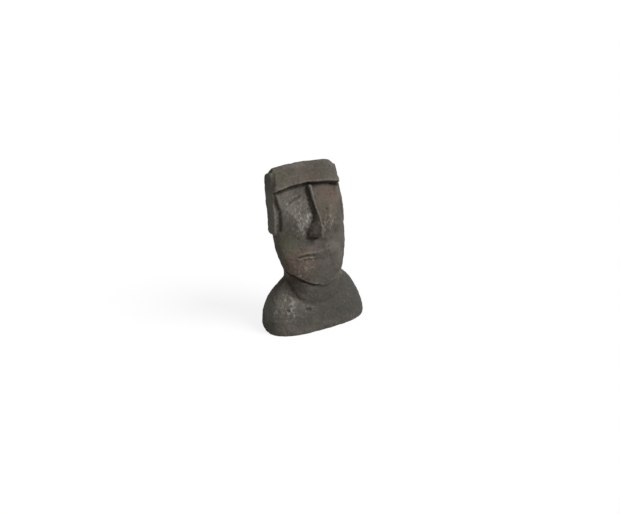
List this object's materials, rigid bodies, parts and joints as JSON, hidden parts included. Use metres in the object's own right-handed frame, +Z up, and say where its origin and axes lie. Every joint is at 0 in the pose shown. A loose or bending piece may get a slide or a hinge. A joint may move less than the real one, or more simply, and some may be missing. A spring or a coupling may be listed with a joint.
{
  "type": "moai stone head statue",
  "caption": "Garden bust of a long moai head with a heavy brow, slab ears and a thick neck on broad rounded shoulders, cast in one piece with a flat underside.",
  "frame": {"origin": "middle of the flat underside, at the centre of the bounding box's bottom face", "axes": "+Z up along the height, -Y the way the face looks, +X to the right of someone facing it"},
  "size_m": [0.3908, 0.2148, 0.5901],
  "materials": {
    "cast_stone": "matt, rough and pitted, dark grey-brown with dusty, olive and reddish patches"
  },
  "bodies": {
    "root": {"moai_bust": "cast_stone"}
  },
  "joints": []
}
